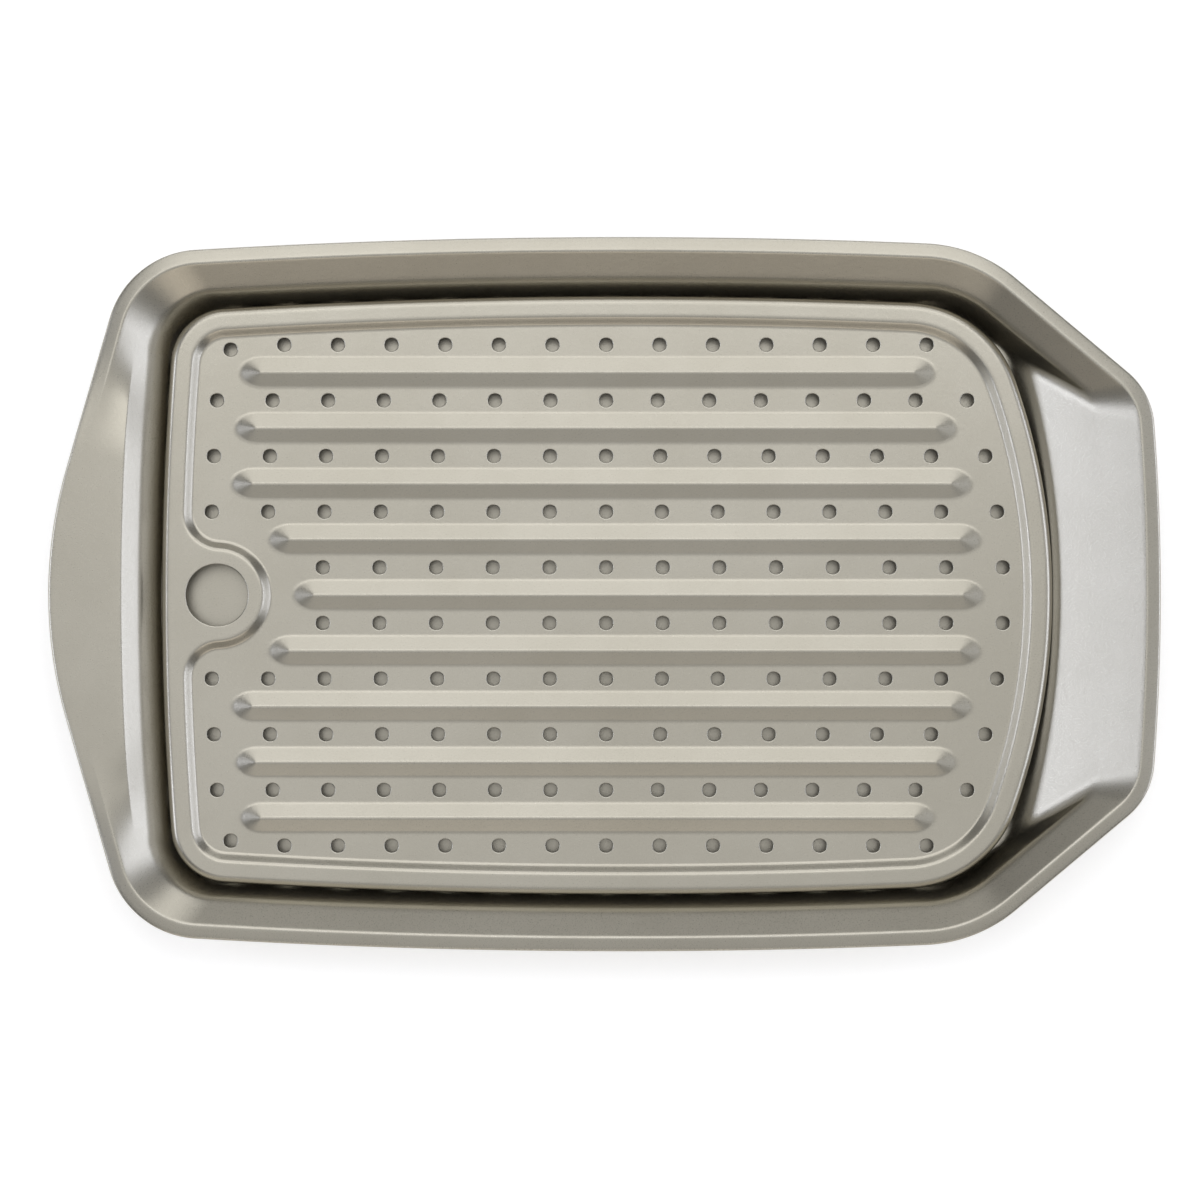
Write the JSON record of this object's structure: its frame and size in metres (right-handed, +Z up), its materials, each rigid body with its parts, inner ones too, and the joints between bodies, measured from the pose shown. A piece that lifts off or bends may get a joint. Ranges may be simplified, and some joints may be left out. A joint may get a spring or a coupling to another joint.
{
  "type": "crisper pan",
  "caption": "Two-piece nonstick steel crisper pan: a shallow pan with a handle flange and a sloped ramp end, and a lift-out ribbed, perforated tray with a finger hole.",
  "frame": {"origin": "centre of the pan's length and width, on the underside of the pan floor", "axes": "+X along the length towards the ramp end, +Y across the width, +Z up out of the pan"},
  "size_m": [0.4456, 0.2862, 0.027],
  "materials": {
    "pan_coat": "satin champagne metallic nonstick coat on pressed steel",
    "tray_coat": "satin champagne metallic nonstick coat on pressed steel"
  },
  "bodies": {
    "pan": {"pan_body": "pan_coat"},
    "tray": {"crisper_tray": "tray_coat"}
  },
  "joints": [
    {"name": "tray_lift", "type": "slide", "parent": "pan", "child": "tray", "axis": [0, 0, 1], "range_m": [0, 0.1]}
  ]
}
